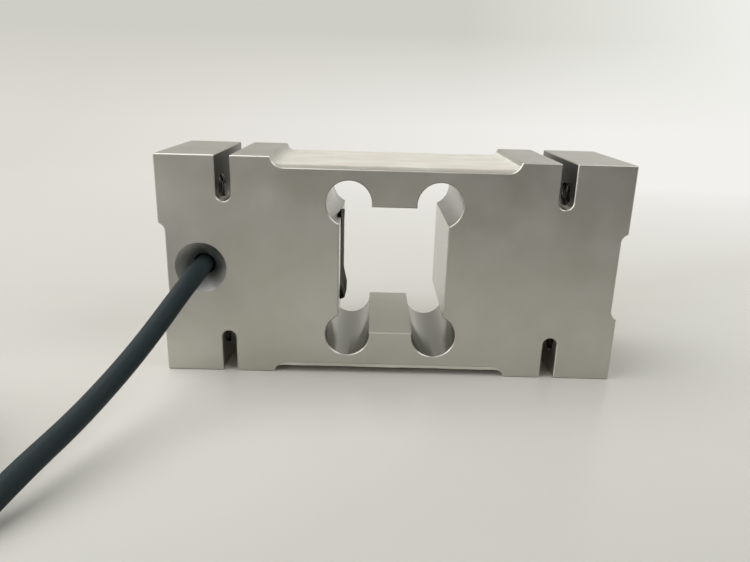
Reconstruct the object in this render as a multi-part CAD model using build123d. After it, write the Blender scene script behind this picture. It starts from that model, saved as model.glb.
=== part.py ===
from build123d import *
from math import cos, hypot, pi, radians, sin, sqrt, tan
import os

# Single point load cell: one milled aluminium beam with strain gauges on its four flexures.
# X runs along the beam, Y from the front face (-Y) to the back, Z up.
# The origin is at the middle of the beam's underside. All sizes are in millimetres.

# Beam
LENGTH = 150.0
DEPTH = 43.0
HEIGHT = 72.5
EDGE_BREAK = 0.3

# Sawn slots that part the end blocks from the flexing middle
SLOT_CENTRE = 53.9
SLOT_WIDTH = 4.7
SLOT_DEPTH = 14.4

# Milled gauge recess in the top and in the underside
RECESS_HALF = 39.0
RECESS_DEPTH = 3.4
RECESS_RADIUS = 4.0

# Relief milled across each end face, which leaves an upper and a lower pad
PAD_HEIGHT = 21.85
RELIEF_DEPTH = 2.0
RELIEF_RADIUS = 2.6

# Window with a flexure bore at each corner, and the thin web that each bore leaves
WINDOW_HALF = 17.45
WINDOW_BELOW_BORES = 0.95
FLEXURE_WEB = 3.48
FLEXURE_OFFSET = 14.43
FLEXURE_RADIUS = 7.27

# Tapped bolt holes in the end pads, drilled into the slots
BOLT_SPACING_Y = 25.0
BOLT_FROM_EDGE = 11.25
BOLT_RADIUS = 4.25
BOLT_SINK = 0.75
BOLT_SINK_ANGLE = 120.0
BOLT_OVERRUN = 0.6
DRILL_POINT_ANGLE = 118.0

# Countersunk cable entry in the front face
ENTRY_X = -62.1
ENTRY_MOUTH_RADIUS = 8.35
ENTRY_BORE_RADIUS = 3.65
ENTRY_BORE_END = 2.0

# Wiring pocket in the window's left wall, and the passages that serve it
POCKET_DEPTH = 6.0
POCKET_FRONT = -10.0
POCKET_BACK = 14.0
POCKET_OVER_BORE = 1.73
POCKET_UNDER_BORE = 2.73
POCKET_RADIUS = 3.0
PASSAGE_Y = -4.0
PASSAGE_RADIUS = 2.2
RISER_SETBACK = 3.55
RISER_Y = 6.0
RISER_RADIUS = 1.4

# Gauge side: foil gauges, solder strips and fine wires under a sealing coat
GAUGE_LENGTH = 10.0
GAUGE_WIDTH = 7.0
CARRIER = 0.12
FOIL = 0.08
GRID_LENGTH = 4.6
GRID_LINE = 0.28
GRID_PITCH = 0.56
GRID_LINES = 7
TAB_LENGTH = 1.5
TAB_WIDTH = 1.3
STRIP_INSET = 5.15
STRIP_LENGTH = 3.4
STRIP_WIDTH = 14.0
STRIP_THICKNESS = 0.3
WIRE_RADIUS = 0.16
WIRE_GAP = 0.05
WIRE_SPREAD = 0.5
WIRE_BEND = 0.4
WIRE_SIDESTEP = 3.5
WIRE_RETURN = 1.0
WIRE_LANDING = 0.64
COAT = 1.1

# Trim board in the pocket
BOARD_THICKNESS = 1.0
BOARD_MARGIN = 0.6
BOARD_RADIUS = 1.5
CHIP_LENGTH = 3.2
CHIP_WIDTH = 1.6
CHIP_HEIGHT = 0.6
CHIP_CAP = 0.5
CHIP_FIRST_ROW = 1.5
CHIP_SECOND_ROW = 6.5

# Black compound in the pocket, nearly flush in the middle and proud towards its ends
COMPOUND_UNDER = 1.2
COMPOUND_OVER = 1.8
COMPOUND_SKIN = 0.35
COMPOUND_LOW_CROWN = 1.7
COMPOUND_LOW_CREST = 2.2
COMPOUND_HIGH_CROWN = 1.1
COMPOUND_HIGH_CREST = 2.4
COMPOUND_LAP = 1.2
SEAL_RECESS = 1.0

# Cable, cores and their paths
CABLE_RADIUS = 3.0
CORE_RADIUS = 0.65
CORE_OFFSET = 0.95
DRAIN_RADIUS = 0.45
CORE_LEAVE = 9.0
CORE_DROP = 18.0
CORE_DROP_FAN = 0.55
CORE_DROP_HEIGHT = 0.975
CORE_LIE = 27.0
CORE_TIP = 35.5
CORE_TIP_FAN = 1.25
TIP_RADIUS = 0.42
TIP_LENGTH = 7.0
INNER_BEND = 2.2
SLEEVE_WALL = 0.45
SLEEVE_ON_JACKET = 8.0
SLEEVE_PAST_JACKET = 6.0
SLEEVE_NECK = 2.5

# Coil of the cable that is put away
COIL_OUTER = 43.3
COIL_PITCH = 6.1
COIL_LAYER_TURNS = 2.6478
COIL_EDGE = 1.8

# Nylon tie round the coil
TIE_ANGLE = -108.0
TIE_WIDTH = 4.6
TIE_THICKNESS = 0.9
TIE_CORNER = 3.0
TIE_INNER = 26.6
TIE_OUTER = 45.9
TIE_HEAD_LENGTH = 6.4
TIE_HEAD_WIDTH = 6.0
TIE_HEAD_HEIGHT = 4.2

# Derived places
HALF_LENGTH = LENGTH / 2
FRONT = -DEPTH / 2
MID = HEIGHT / 2
TOP_FLOOR = HEIGHT - RECESS_DEPTH
RELIEF_HEIGHT = HEIGHT - 2 * PAD_HEIGHT
FLEXURE_RISE = MID - RECESS_DEPTH - FLEXURE_WEB - FLEXURE_RADIUS
WINDOW_RISE = FLEXURE_RISE - WINDOW_BELOW_BORES
WALL_RISE = FLEXURE_RISE - sqrt(FLEXURE_RADIUS**2 - (WINDOW_HALF - FLEXURE_OFFSET) ** 2)
POCKET_WALL = -WINDOW_HALF - POCKET_DEPTH
POCKET_LOW = MID - WALL_RISE + POCKET_OVER_BORE
POCKET_HIGH = MID + WALL_RISE - POCKET_UNDER_BORE
COMPOUND_LOW = POCKET_LOW - COMPOUND_UNDER
COMPOUND_HIGH = POCKET_HIGH + COMPOUND_OVER
RISER_X = POCKET_WALL - RISER_SETBACK
STRIP_X = -WINDOW_HALF - STRIP_INSET
BOLT_RISE = MID - BOLT_FROM_EDGE
POCKET_MID_Y = (POCKET_FRONT + POCKET_BACK) / 2
POCKET_MID_Z = (POCKET_LOW + POCKET_HIGH) / 2
ENTRY_CONE = ENTRY_MOUTH_RADIUS - ENTRY_BORE_RADIUS
LAYER_LIFT = 2 * CABLE_RADIUS

# Route of the free cable: the middle of the jacket, from its end inside the entry bore to the coil
CABLE_ROUTE = [
    (ENTRY_X, -11.5, MID),
    (ENTRY_X, -19.5, MID),
    (-63.1, -27.6, 34.6),
    (-65.2, -36.0, 31.1),
    (-70.6, -50.0, 23.4),
    (-75.3, -62.5, 16.6),
    (-80.5, -77.0, 11.5),
    (-86.0, -92.5, 6.9),
    (-91.2, -107.0, CABLE_RADIUS),
    (-99.0, -117.4, CABLE_RADIUS),
    (-110.4, -124.8, CABLE_RADIUS),
    (-122.9, -129.6, CABLE_RADIUS),
    (-135.8, -133.4, CABLE_RADIUS),
]


def heading(start, end):
    """Unit direction in plan from one point to another."""
    dx, dy = end[0] - start[0], end[1] - start[1]
    return dx / hypot(dx, dy), dy / hypot(dx, dy)


# The coil's centre lies to the right of the last run, so the cable enters its outer turn tangentially
ENTRY_HEADING = heading(CABLE_ROUTE[-2], CABLE_ROUTE[-1])
COIL_X = CABLE_ROUTE[-1][0] + COIL_OUTER * ENTRY_HEADING[1]
COIL_Y = CABLE_ROUTE[-1][1] - COIL_OUTER * ENTRY_HEADING[0]
COIL_INNER = COIL_OUTER - COIL_PITCH * COIL_LAYER_TURNS
COIL_TOP = CABLE_RADIUS + LAYER_LIFT

# The tail leaves the top of the coil on its far side and comes down to the floor beside it
TAIL_X = COIL_X - COIL_OUTER
SLEEVE_RADIUS = CABLE_RADIUS + SLEEVE_WALL
TAIL_ROUTE = [
    (TAIL_X, COIL_Y, COIL_TOP),
    (TAIL_X, COIL_Y + 12.0, COIL_TOP),
    (TAIL_X + 0.9, COIL_Y + 24.5, 5.9),
    (TAIL_X + 2.8, COIL_Y + 37.5, SLEEVE_RADIUS),
    (TAIL_X + 6.4, COIL_Y + 50.0, SLEEVE_RADIUS),
    (TAIL_X + 11.6, COIL_Y + 61.5, SLEEVE_RADIUS),
]

CORE_NAMES = ["red", "black", "green", "white"]
CORE_SIDES = [(-1, 1), (-1, -1), (1, 1), (1, -1)]
CORE_FAN = [-7.4, -2.4, 7.0, 2.3]
DRAIN_FAN = 0.3


def corner_radii(points):
    """Arc radius at each inner corner: 0.45 of the shorter run over the tangent of half the turn."""
    radii = []
    for before, corner, after in zip(points, points[1:], points[2:]):
        run_in = Vector(*corner) - Vector(*before)
        run_out = Vector(*after) - Vector(*corner)
        half_turn = radians(run_in.get_angle(run_out)) / 2
        radii.append(0.45 * min(run_in.length, run_out.length) / tan(half_turn))
    return radii


def tube(points, radius, radii=None):
    """Round tube along straight runs joined by tangent arcs."""
    if len(points) > 2:
        path = FilletPolyline(*points, radius=radii or corner_radii(points))
    else:
        path = Line(*points)
    return sweep(Plane(origin=path @ 0, z_dir=path % 0) * Circle(radius), path=path)


def across(plan_shape, low_y, high_y):
    """Extrude a shape drawn in X and Z between two Y values."""
    return extrude(Plane((0, high_y, 0), x_dir=(1, 0, 0), z_dir=(0, -1, 0)) * plan_shape, high_y - low_y)


def drill(radius, start, end):
    """Cylinder between two points."""
    axis = Vector(*end) - Vector(*start)
    return extrude(Plane(origin=start, z_dir=axis) * Circle(radius), axis.length)


def cone(radius, end_radius, start, end):
    """Cone frustum between two points."""
    axis = Vector(*end) - Vector(*start)
    placed = Plane(origin=start, z_dir=axis)
    return placed * Cone(radius, end_radius, axis.length, align=(Align.CENTER, Align.CENTER, Align.MIN))


def slot_shape(x, side):
    """Slot with a full-round end; side is +1 at the top and -1 at the underside."""
    mouth = HEIGHT if side > 0 else 0.0
    straight = SLOT_DEPTH - SLOT_WIDTH / 2
    walls = Pos(x, mouth - side * straight / 2) * Rectangle(SLOT_WIDTH, straight)
    return walls + Pos(x, mouth - side * straight) * Circle(SLOT_WIDTH / 2)


def recess_shape(side):
    """Recess whose ends rise from the floor in a concave radius."""
    tall = RECESS_DEPTH + 2 * RECESS_RADIUS
    middle = HEIGHT - RECESS_DEPTH + tall / 2 if side > 0 else RECESS_DEPTH - tall / 2
    return Pos(0, middle) * RectangleRounded(2 * RECESS_HALF, tall, RECESS_RADIUS)


def relief_shape(side):
    """Relief in an end face, with concave corners."""
    wide = RELIEF_DEPTH + 2 * RELIEF_RADIUS
    middle = side * (HALF_LENGTH - RELIEF_DEPTH + wide / 2)
    return Pos(middle, MID) * RectangleRounded(wide, RELIEF_HEIGHT, RELIEF_RADIUS)


def window_shape():
    """Window that opens into a flexure bore at each corner."""
    shape = Pos(0, MID) * Rectangle(2 * WINDOW_HALF, 2 * WINDOW_RISE)
    for side in (-1, 1):
        for level in (-1, 1):
            place = Pos(side * FLEXURE_OFFSET, MID + level * FLEXURE_RISE)
            shape = shape + place * Circle(FLEXURE_RADIUS)
    return shape


def outline():
    """The beam's profile as seen from the front."""
    shape = Pos(0, MID) * Rectangle(LENGTH, HEIGHT)
    for side in (-1, 1):
        shape = shape - recess_shape(side) - relief_shape(side)
        for x in (-SLOT_CENTRE, SLOT_CENTRE):
            shape = shape - slot_shape(x, side)
    outer = [
        v for v in shape.vertices()
        if abs(abs(v.X) - HALF_LENGTH) < 1e-6 or abs(v.Y) < 1e-6 or abs(v.Y - HEIGHT) < 1e-6
    ]
    return chamfer(outer, EDGE_BREAK) - window_shape()


def bolt_hole(side, y, z):
    """Tap drill from an end pad into the slot, with its mouth countersunk."""
    face = side * HALF_LENGTH
    slot_wall = side * (SLOT_CENTRE + SLOT_WIDTH / 2 - BOLT_OVERRUN)
    point = BOLT_RADIUS / tan(radians(DRILL_POINT_ANGLE / 2))
    hole = drill(BOLT_RADIUS, (face, y, z), (slot_wall, y, z))
    hole = hole + cone(BOLT_RADIUS, 0, (slot_wall, y, z), (slot_wall - side * point, y, z))
    mouth_end = (face - side * BOLT_SINK / tan(radians(BOLT_SINK_ANGLE / 2)), y, z)
    return hole + cone(BOLT_RADIUS + BOLT_SINK, BOLT_RADIUS, (face, y, z), mouth_end)


def pocket_shape(depth_low, depth_high, margin=0.0, radius=POCKET_RADIUS):
    """Rounded block in the window's left wall between two X values."""
    wide = POCKET_BACK - POCKET_FRONT - 2 * margin
    tall = POCKET_HIGH - POCKET_LOW - 2 * margin
    face = Plane((depth_low, POCKET_MID_Y, POCKET_MID_Z), x_dir=(0, 1, 0), z_dir=(1, 0, 0))
    return extrude(face * RectangleRounded(wide, tall, radius), depth_high - depth_low)


def beam():
    """The milled beam with every hole that enters it."""
    body = across(outline(), -DEPTH / 2, DEPTH / 2)
    faces = body.faces().filter_by(Axis.Y).sort_by(Axis.Y)
    body = chamfer(faces[0].edges() + faces[-1].edges(), EDGE_BREAK)
    for side in (-1, 1):
        for y in (-BOLT_SPACING_Y / 2, BOLT_SPACING_Y / 2):
            for level in (-BOLT_RISE, BOLT_RISE):
                body = body - bolt_hole(side, y, MID + level)
    cone_end = (ENTRY_X, FRONT + ENTRY_CONE, MID)
    body = body - cone(ENTRY_MOUTH_RADIUS, ENTRY_BORE_RADIUS, (ENTRY_X, FRONT, MID), cone_end)
    body = body - drill(ENTRY_BORE_RADIUS, cone_end, (ENTRY_X, ENTRY_BORE_END, MID))
    body = body - pocket_shape(POCKET_WALL, -WINDOW_HALF + FLEXURE_RADIUS)
    body = body - drill(PASSAGE_RADIUS, (ENTRY_X, PASSAGE_Y, MID), (POCKET_WALL, PASSAGE_Y, MID))
    body = body - drill(RISER_RADIUS, (RISER_X, RISER_Y, MID), (POCKET_WALL, RISER_Y, MID))
    return body - drill(RISER_RADIUS, (RISER_X, RISER_Y, 0), (RISER_X, RISER_Y, HEIGHT))


def at_gauge_side(part, side):
    """Move a part drawn on the plane Z=0 to the top recess floor, or mirror it to the lower one."""
    if side > 0:
        return Pos(0, 0, TOP_FLOOR) * part
    return Pos(0, 0, RECESS_DEPTH) * mirror(part, about=Plane.XY)


def gauge(x):
    """Foil strain gauge: a film carrier with a folded grid and two solder tabs on it."""
    sheet = Pos(x, 0, CARRIER / 2) * Box(GAUGE_LENGTH, GAUGE_WIDTH, CARRIER)
    half_grid = (GRID_LINES - 1) * GRID_PITCH / 2
    foil = []
    for line in range(GRID_LINES):
        y = line * GRID_PITCH - half_grid
        foil.append(Pos(x, y) * Rectangle(GRID_LENGTH, GRID_LINE))
        if line:
            turn_side = 1 if line % 2 else -1
            turn_x = x + turn_side * (GRID_LENGTH - GRID_LINE) / 2
            foil.append(Pos(turn_x, y - GRID_PITCH / 2) * Rectangle(GRID_LINE, GRID_PITCH + GRID_LINE))
    for end in (-1, 1):
        tab_x = x - GRID_LENGTH / 2 - TAB_LENGTH / 2
        foil.append(Pos(tab_x, end * half_grid) * Rectangle(TAB_LENGTH, TAB_WIDTH))
    pattern = foil[0]
    for strip in foil[1:]:
        pattern = pattern + strip
    return sheet + Pos(0, 0, CARRIER) * extrude(pattern, FOIL)


def solder_strip():
    """Small strip between the gauges and the riser, where the fine wires are soldered."""
    return Pos(STRIP_X, 0, STRIP_THICKNESS / 2) * Box(STRIP_LENGTH, STRIP_WIDTH, STRIP_THICKNESS)


def jumper_wires():
    """Fine wires from each gauge's tabs to the solder strip."""
    rest = CARRIER + FOIL + WIRE_RADIUS
    strip_edge = STRIP_X + STRIP_LENGTH / 2 + WIRE_GAP
    half_grid = (GRID_LINES - 1) * GRID_PITCH / 2
    wires = []
    for end in (-1, 1):
        near_tab = -FLEXURE_OFFSET - GRID_LENGTH / 2 - TAB_LENGTH / 2
        far_tab = FLEXURE_OFFSET - GRID_LENGTH / 2 - TAB_LENGTH / 2
        y = end * half_grid
        wires.append(tube([(near_tab, y, rest), (strip_edge, y, rest)], WIRE_RADIUS))
        lane = end * (GAUGE_WIDTH / 2 + 2 * WIRE_RADIUS + WIRE_GAP)
        landing = end * (half_grid + WIRE_LANDING)
        route = [
            (far_tab, y, rest),
            (far_tab - WIRE_SIDESTEP, lane, rest),
            (-FLEXURE_OFFSET - WIRE_RETURN, lane, rest),
            (strip_edge, landing, rest),
        ]
        wires.append(tube(route, WIRE_RADIUS))
    return wires


def riser_wires(side):
    """Fine wires from the solder strip through the riser to the trim board, in two layers."""
    layer = 2 * WIRE_RADIUS + WIRE_GAP
    floor = TOP_FLOOR if side > 0 else RECESS_DEPTH
    board_face = POCKET_WALL + BOARD_THICKNESS
    wires = []
    for row in (-1, 1):
        upper = layer if row < 0 else 0.0
        rest = floor + side * (STRIP_THICKNESS + WIRE_GAP + WIRE_RADIUS + upper)
        level = MID + side * (WIRE_SPREAD + layer - upper)
        x = RISER_X + row * WIRE_SPREAD
        for lane in (-1, 1):
            y = RISER_Y + lane * WIRE_SPREAD
            route = [(STRIP_X, y, rest), (x, y, rest), (x, y, level), (board_face, y, level)]
            wires.append(tube(route, WIRE_RADIUS, [WIRE_BEND, WIRE_BEND]))
    return wires


def coat(side, buried):
    """Sealing coat over the recess floor, cut out round everything that it covers."""
    floor = TOP_FLOOR if side > 0 else RECESS_DEPTH
    band = Pos(0, floor + side * COAT / 2) * Rectangle(2 * RECESS_HALF, COAT)
    layer = across(recess_shape(side) & band, FRONT + EDGE_BREAK, -FRONT - EDGE_BREAK)
    for part in buried:
        layer = layer - part
    return layer


def trim_board():
    """Board on the pocket's back wall, with a hole in front of each passage."""
    board = pocket_shape(POCKET_WALL, POCKET_WALL + BOARD_THICKNESS, BOARD_MARGIN, BOARD_RADIUS)
    board = board - drill(PASSAGE_RADIUS, (POCKET_WALL, PASSAGE_Y, MID), (-WINDOW_HALF, PASSAGE_Y, MID))
    return board - drill(RISER_RADIUS, (POCKET_WALL, RISER_Y, MID), (-WINDOW_HALF, RISER_Y, MID))


def trim_resistors():
    """Four chip resistors with solder caps at both ends."""
    face = POCKET_WALL + BOARD_THICKNESS
    quarter = (POCKET_HIGH - POCKET_LOW) / 4 - BOARD_MARGIN / 2
    chips = []
    for y in (POCKET_MID_Y + CHIP_FIRST_ROW, POCKET_MID_Y + CHIP_SECOND_ROW):
        for z in (POCKET_MID_Z - quarter, POCKET_MID_Z + quarter):
            core = Pos(face + CHIP_HEIGHT / 2, y, z) * Box(CHIP_HEIGHT, CHIP_WIDTH, CHIP_LENGTH)
            for end in (-1, 1):
                cap_z = z + end * (CHIP_LENGTH - CHIP_CAP) / 2
                cap_x = face + (CHIP_HEIGHT + WIRE_GAP) / 2
                core = core + Pos(cap_x, y, cap_z) * Box(CHIP_HEIGHT + WIRE_GAP, CHIP_WIDTH, CHIP_CAP)
            chips.append(core)
    return chips


def compound(buried):
    """Hand-laid sealing compound that fills the pocket and swells over its upper and lower edges."""
    wall = -WINDOW_HALF
    middle = (COMPOUND_LOW + COMPOUND_HIGH) / 2
    crown = Spline(
        (wall, COMPOUND_LOW),
        (wall + COMPOUND_LOW_CROWN, COMPOUND_LOW + COMPOUND_LOW_CREST),
        (wall + COMPOUND_SKIN, middle),
        (wall + COMPOUND_HIGH_CROWN, COMPOUND_HIGH - COMPOUND_HIGH_CREST),
        (wall, COMPOUND_HIGH),
    )
    skin = make_face(crown + Line((wall, COMPOUND_HIGH), (wall, COMPOUND_LOW)))
    swell = across(skin, POCKET_FRONT - COMPOUND_LAP, POCKET_BACK + COMPOUND_LAP)
    fill = pocket_shape(POCKET_WALL, wall) + swell
    for part in buried:
        fill = fill - part
    return fill


def core_offsets(side_x, side_z):
    """Place of one core in the jacket's section."""
    return side_x * CORE_OFFSET, side_z * CORE_OFFSET


def inner_core(side_x, side_z):
    """Core from the jacket's end inside the beam, round into the passage and on to the trim board."""
    off_x, off_z = core_offsets(side_x, side_z)
    bend_x = ENTRY_X + off_x
    lane_y = PASSAGE_Y - off_x
    route = [
        (bend_x, CABLE_ROUTE[0][1], MID + off_z),
        (bend_x, lane_y, MID + off_z),
        (POCKET_WALL + BOARD_THICKNESS, lane_y, MID + off_z),
    ]
    return tube(route, CORE_RADIUS, [INNER_BEND])


def entry_seal(cable, cores):
    """Sealing compound round the jacket in the entry bore and over its end."""
    start = (ENTRY_X, FRONT + ENTRY_CONE + SEAL_RECESS, MID)
    seal = drill(ENTRY_BORE_RADIUS, start, (ENTRY_X, ENTRY_BORE_END, MID)) - cable
    for core in cores:
        seal = seal - core
    return seal


def coil(run, tail):
    """Outer shape of the wound cable: a flat ring, narrowed under the tie."""
    inner = COIL_INNER - CABLE_RADIUS
    outer = COIL_OUTER + CABLE_RADIUS
    tall = 2 * LAYER_LIFT
    section = Rectangle(outer - inner, tall)
    section = Pos((inner + outer) / 2, tall / 2) * chamfer(section.vertices(), COIL_EDGE)
    ring = Pos(COIL_X, COIL_Y, 0) * revolve(Plane.XZ * section, Axis.Z)
    return ring - run - tail - tie_band() + tie_core()


def tie_frame():
    """Plane across the coil where the tie goes round it: x outwards, y up."""
    angle = radians(TIE_ANGLE)
    outwards = (cos(angle), sin(angle), 0)
    across_ring = (sin(angle), -cos(angle), 0)
    return Plane((COIL_X, COIL_Y, 0), x_dir=outwards, z_dir=across_ring)


def tie_section(grow):
    """Rounded outline of the turns under the tie, grown by a wall."""
    low = TIE_THICKNESS
    high = TIE_THICKNESS + 2 * LAYER_LIFT
    middle = Pos((TIE_INNER + TIE_OUTER) / 2, (low + high) / 2)
    wide = TIE_OUTER - TIE_INNER + 2 * grow
    return middle * RectangleRounded(wide, high - low + 2 * grow, TIE_CORNER + grow)


def tie_core():
    """The turns inside the tie."""
    return extrude(tie_frame() * tie_section(0), TIE_WIDTH / 2, both=True)


def tie_band():
    """Block that takes the ring's whole section away where the tie goes round it."""
    inner = COIL_INNER - 2 * CABLE_RADIUS
    outer = COIL_OUTER + 2 * CABLE_RADIUS
    tall = 2 * LAYER_LIFT + 2 * CABLE_RADIUS
    block = Pos((inner + outer) / 2, LAYER_LIFT) * Rectangle(outer - inner, tall)
    return extrude(tie_frame() * block, TIE_WIDTH / 2, both=True)


def coil_tie():
    """Nylon cable tie: a strap round the turns, and its head on top."""
    strap = extrude(tie_frame() * (tie_section(TIE_THICKNESS) - tie_section(0)), TIE_WIDTH / 2, both=True)
    angle = radians(TIE_ANGLE)
    reach = (COIL_INNER + COIL_OUTER) / 2
    top = 2 * TIE_THICKNESS + 2 * LAYER_LIFT
    head = Box(TIE_HEAD_LENGTH, TIE_HEAD_WIDTH, TIE_HEAD_HEIGHT, align=(Align.CENTER, Align.CENTER, Align.MIN))
    head = chamfer(head.edges().filter_by(Axis.Z), TIE_THICKNESS)
    place = Pos(COIL_X + reach * cos(angle), COIL_Y + reach * sin(angle), top - TIE_THICKNESS)
    return strap + place * Rot(0, 0, TIE_ANGLE) * head


def tail_frame():
    """Jacket end of the tail and the direction in which it points."""
    end = Vector(*TAIL_ROUTE[-1])
    along = (end - Vector(*TAIL_ROUTE[-2])).normalized()
    return end, along


def end_sleeve(tail, cores):
    """Shrink sleeve over the jacket's end, necked down onto the cores."""
    end, along = tail_frame()
    profile = Polyline(
        (0, -SLEEVE_ON_JACKET),
        (SLEEVE_RADIUS, -SLEEVE_ON_JACKET),
        (SLEEVE_RADIUS, 0),
        (SLEEVE_NECK, SLEEVE_PAST_JACKET),
        (0, SLEEVE_PAST_JACKET),
        close=True,
    )
    sleeve = revolve(Plane.XZ * make_face(profile), Axis.Z)
    sleeve = Plane(origin=end, z_dir=along) * sleeve - tail
    for core in cores:
        sleeve = sleeve - core
    return sleeve


def end_core_route(side_x, side_z, fan, radius):
    """Route of a bared core from the jacket's end to the floor, and the direction of its tip."""
    end, along = tail_frame()
    sideways = Vector(along.Y, -along.X, 0)
    start = end + sideways * (side_x * CORE_OFFSET) + Vector(0, 0, side_z * CORE_OFFSET)
    leave = start + along * CORE_LEAVE
    drop = end + along * CORE_DROP + sideways * (CORE_DROP_FAN * fan)
    drop = Vector(drop.X, drop.Y, CORE_DROP_HEIGHT)
    lie = end + along * CORE_LIE + sideways * fan
    lie = Vector(lie.X, lie.Y, radius)
    tip = end + along * CORE_TIP + sideways * (CORE_TIP_FAN * fan)
    tip = Vector(tip.X, tip.Y, radius)
    return [start, leave, drop, lie, tip]


def as_points(vectors):
    """Plain coordinates of a list of vectors."""
    return [(v.X, v.Y, v.Z) for v in vectors]


def tinned_tip(points):
    """Bare tinned end that sticks out of a core."""
    end = Vector(*points[-1])
    along = (end - Vector(*points[-2])).normalized()
    return drill(TIP_RADIUS, points[-1], as_points([end + along * TIP_LENGTH])[0])


def check_tube(name, shape, radius, points):
    """Print a tube's corner radii, and its volume beside its section times its length."""
    radii = corner_radii(points)
    length = FilletPolyline(*points, radius=radii).length
    print(name, "radii", [round(r, 1) for r in radii], "length", round(length, 1))
    print(name, "volume", round(shape.volume, 1), "section x length", round(pi * radius**2 * length, 1))


def build():
    """Every piece of the load cell, by name."""
    parts = {"load_cell_body": beam()}

    sides = {"top": 1, "bottom": -1}
    for name, side in sides.items():
        buried = []
        for end, x in (("left", -FLEXURE_OFFSET), ("right", FLEXURE_OFFSET)):
            part = at_gauge_side(gauge(x), side)
            parts[f"strain_gauge_{name}_{end}"] = part
            buried.append(part)
        strip = at_gauge_side(solder_strip(), side)
        jumpers = [at_gauge_side(wire, side) for wire in jumper_wires()]
        risers = riser_wires(side)
        parts[f"solder_strip_{name}"] = strip
        parts[f"gauge_wires_{name}"] = Compound(children=jumpers)
        parts[f"riser_wires_{name}"] = Compound(children=risers)
        parts[f"sealing_coat_{name}"] = coat(side, buried + [strip] + jumpers + risers)

    run = tube(CABLE_ROUTE, CABLE_RADIUS)
    tail = tube(TAIL_ROUTE, CABLE_RADIUS)
    check_tube("cable_run", run, CABLE_RADIUS, CABLE_ROUTE)
    check_tube("cable_tail", tail, CABLE_RADIUS, TAIL_ROUTE)

    inner = [inner_core(*sides_xz) for sides_xz in CORE_SIDES]
    for name, core in zip(CORE_NAMES, inner):
        parts[f"inner_core_{name}"] = core
    parts["entry_seal"] = entry_seal(run, inner)

    chips = trim_resistors()
    board = trim_board()
    riser_all = riser_wires(1) + riser_wires(-1)
    parts["trim_board"] = board
    parts["trim_resistors"] = Compound(children=chips)
    parts["pocket_compound"] = compound([board] + chips + inner + riser_all)

    ends = []
    tips = []
    for name, sides_xz, fan in zip(CORE_NAMES, CORE_SIDES, CORE_FAN):
        points = as_points(end_core_route(*sides_xz, fan, CORE_RADIUS))
        core = tube(points, CORE_RADIUS)
        check_tube(f"core_{name}", core, CORE_RADIUS, points)
        parts[f"core_{name}"] = core
        ends.append(core)
        tips.append(tinned_tip(points))
    drain_points = as_points(end_core_route(0, 0, DRAIN_FAN, DRAIN_RADIUS))
    drain = tube(drain_points, DRAIN_RADIUS)
    check_tube("drain_wire", drain, DRAIN_RADIUS, drain_points)
    parts["drain_wire"] = drain
    ends.append(drain)
    parts["tinned_tips"] = Compound(children=tips)
    parts["end_sleeve"] = end_sleeve(tail, ends)

    parts["cable_run"] = run
    parts["cable_tail"] = tail
    parts["cable_coil"] = coil(run, tail)
    parts["coil_tie"] = coil_tie()
    return parts


def main():
    os.makedirs("parts", exist_ok=True)
    for name, part in build().items():
        export_step(part, f"parts/{name}.step")


main()
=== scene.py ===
"""Looks of a single point load cell: satin milled aluminium, sealed gauges and its own cable."""
from math import cos, hypot, pi, radians, sin

import bmesh
import bpy
import numpy as np
from mathutils import Matrix, Vector


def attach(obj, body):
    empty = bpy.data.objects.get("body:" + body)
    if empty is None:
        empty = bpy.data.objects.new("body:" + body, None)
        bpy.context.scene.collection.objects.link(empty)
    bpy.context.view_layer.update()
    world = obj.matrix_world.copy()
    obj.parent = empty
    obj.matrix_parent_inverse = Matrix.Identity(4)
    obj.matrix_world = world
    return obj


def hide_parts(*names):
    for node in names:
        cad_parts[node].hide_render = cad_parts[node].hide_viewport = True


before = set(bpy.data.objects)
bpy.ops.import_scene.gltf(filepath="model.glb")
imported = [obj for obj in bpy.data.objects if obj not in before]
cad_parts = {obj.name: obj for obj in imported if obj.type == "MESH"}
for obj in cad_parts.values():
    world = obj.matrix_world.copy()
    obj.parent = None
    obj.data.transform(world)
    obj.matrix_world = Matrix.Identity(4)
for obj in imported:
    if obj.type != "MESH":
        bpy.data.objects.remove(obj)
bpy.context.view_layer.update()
MM = 0.001

# Picture frame and the photograph's camera, in millimetres and radians
PICTURE_WIDTH = 750
FOCAL_PIXELS = 637.7
SENSOR_WIDTH = 36.0
CAMERA_PLACE = (-7.138, -219.866, 95.414)
CAMERA_YAW = -0.008
CAMERA_PITCH = -0.304
CAMERA_ROLL = 0.028

# Lamps: place, the point that they face, size and power
LAMPS = {
    "left_window": ((-640, 60, 1020), (0, 0, 30), 1350, 11.4),
    "right_fill": ((780, -350, 900), (0, 0, 30), 800, 4.4),
    "front_left_fill": ((-1050, -800, 380), (0, 0, 36), 700, 4.5),
}

# A wave texture at this scale has bands about one unit apart
BAND_SCALE = 0.3183

# Beam, in millimetres
HEIGHT = 72.5
MID = 36.25

# Gauge recess with concave ends, and the sealing coat on its floor
RECESS_DEPTH = 3.4
RECESS_HALF = 39.0
RECESS_RADIUS = 4.0
COAT = 1.1
COAT_HALF_DEPTH = 21.2
GAUGE_X = 14.43

# Window with its flexure bores, and the wiring pocket in its left wall
WINDOW_HALF = 17.45
FLEXURE_RISE = 22.1
FLEXURE_RADIUS = 7.27
WALL_RISE = 15.487
POCKET_FRONT = -10.0
POCKET_BACK = 14.0
COMPOUND_LOW = 21.3
COMPOUND_HIGH = 50.8
COMPOUND_SMEAR = 53.8

# Sawn slots
SLOT_X = 53.9
SLOT_WIDTH = 4.7
SLOT_DEPTH = 14.4

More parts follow.
